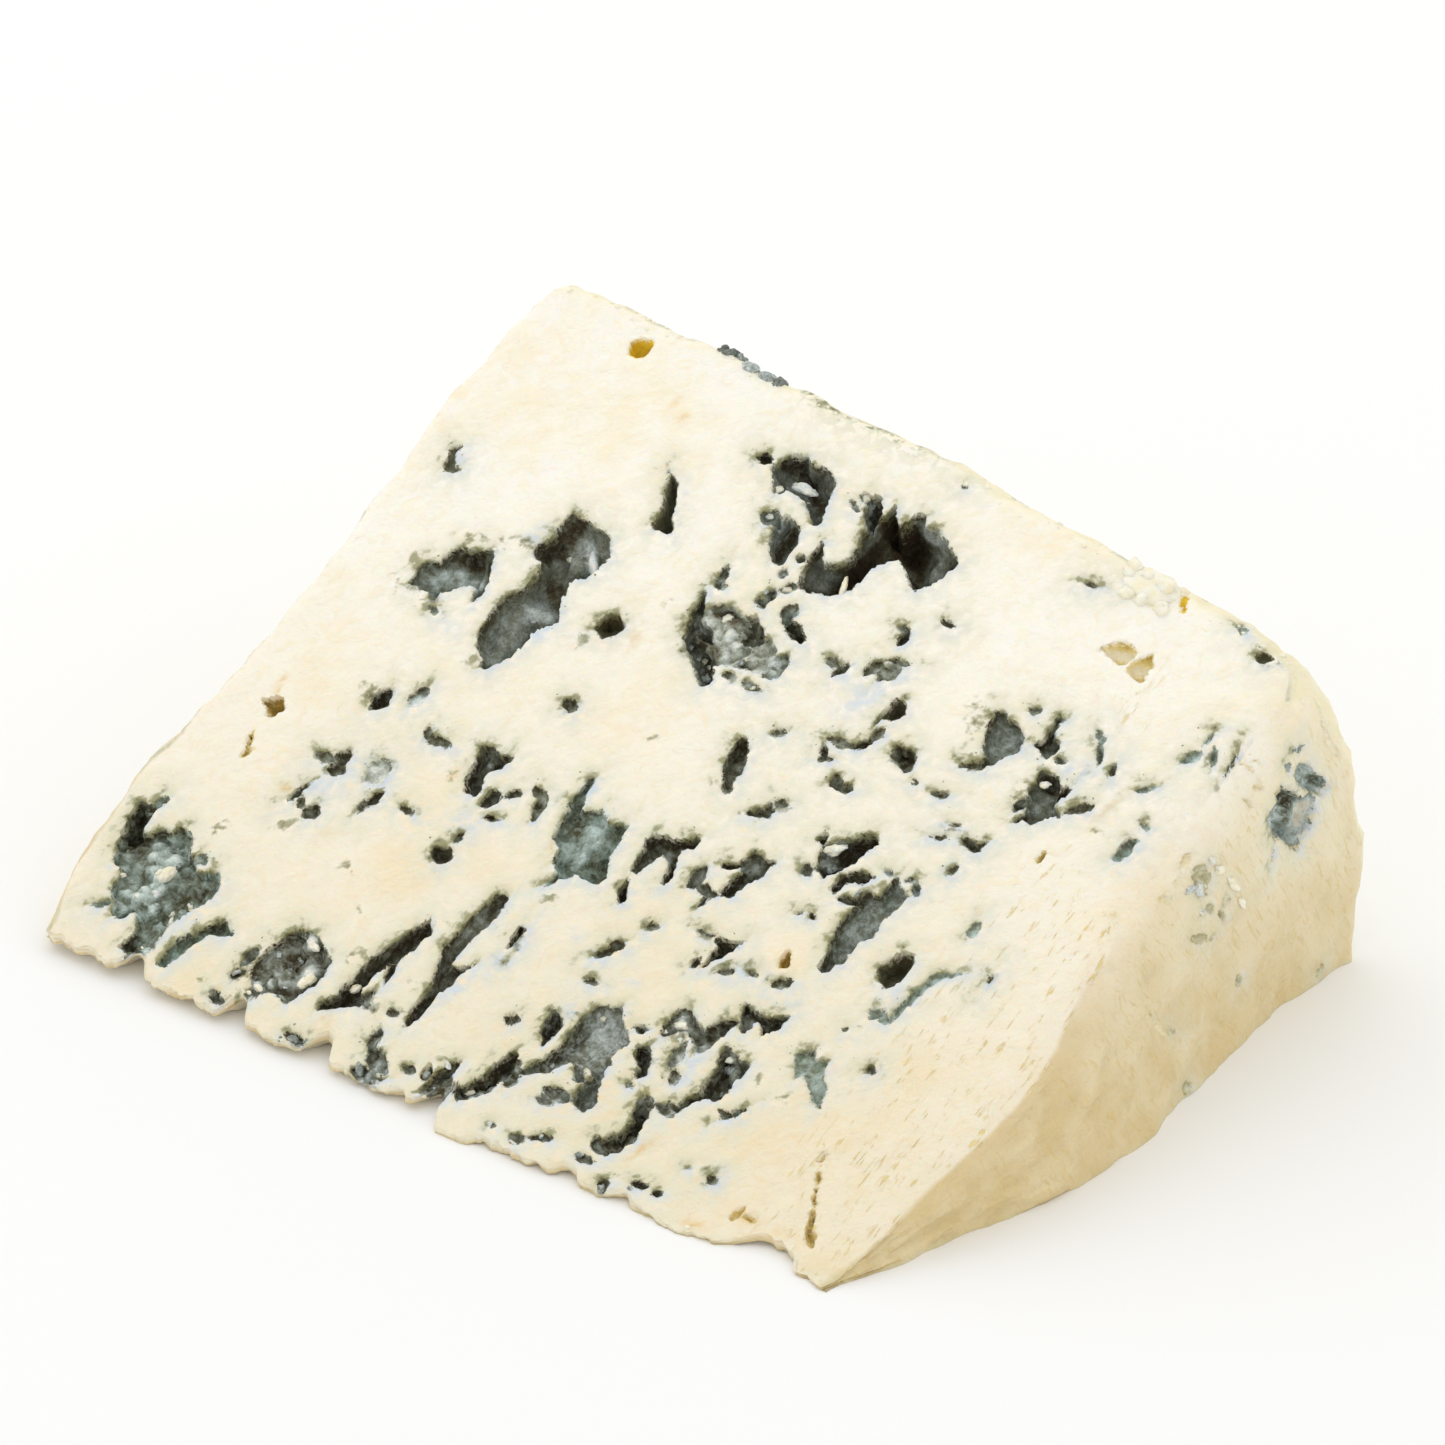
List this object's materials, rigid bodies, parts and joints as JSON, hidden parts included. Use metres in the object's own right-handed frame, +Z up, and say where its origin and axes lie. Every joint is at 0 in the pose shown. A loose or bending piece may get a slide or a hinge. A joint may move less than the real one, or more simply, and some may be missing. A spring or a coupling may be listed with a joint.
{
  "type": "blue cheese wedge",
  "caption": "Wedge of blue-veined cheese lying on a cut face, with mould-lined openings over its upper cut face, a ragged sharp edge and a curved outer rim.",
  "frame": {"origin": "middle of the bounding box, on the surface that the wedge lies on", "axes": "+X along the wheel's axis towards the near end, +Y from the sharp edge out to the rim, +Z up"},
  "size_m": [0.1232, 0.1026, 0.0511],
  "materials": {
    "cheese": "moist cream paste with slate-blue mould in its openings"
  },
  "bodies": {
    "root": {"cheese_wedge": "cheese"}
  },
  "joints": []
}
